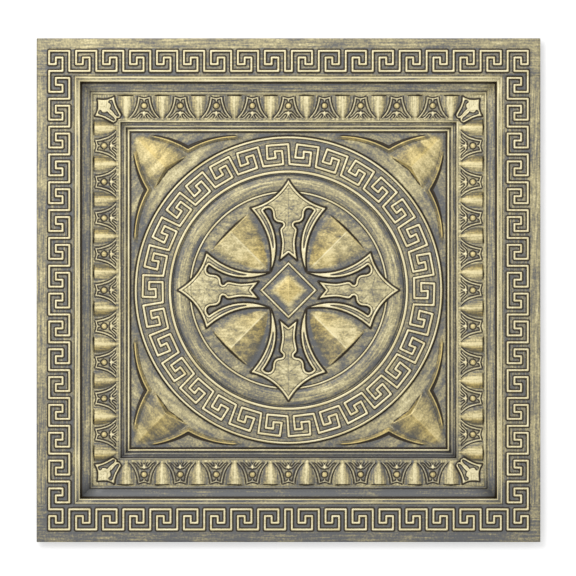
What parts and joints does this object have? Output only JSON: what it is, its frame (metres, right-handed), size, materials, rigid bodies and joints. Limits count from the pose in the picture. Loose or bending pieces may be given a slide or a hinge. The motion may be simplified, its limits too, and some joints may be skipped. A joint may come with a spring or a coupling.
{
  "type": "pressed tin ceiling tile",
  "caption": "Square pressed tin lay-in ceiling tile with a stepped coffer, key and egg-and-dart borders, a ring and a cross.",
  "frame": {"origin": "under the middle of the tile, at the back of the coffer floor, on which it lies", "axes": "+Z out of the face, which is seen from the room; +X and +Y along the sides of the square"},
  "size_m": [0.603, 0.603, 0.0124],
  "materials": {
    "tin_plate": "antique brass paint dry-brushed over a dark grey patina, satin"
  },
  "bodies": {
    "root": {"pressed_tile": "tin_plate"}
  },
  "joints": []
}
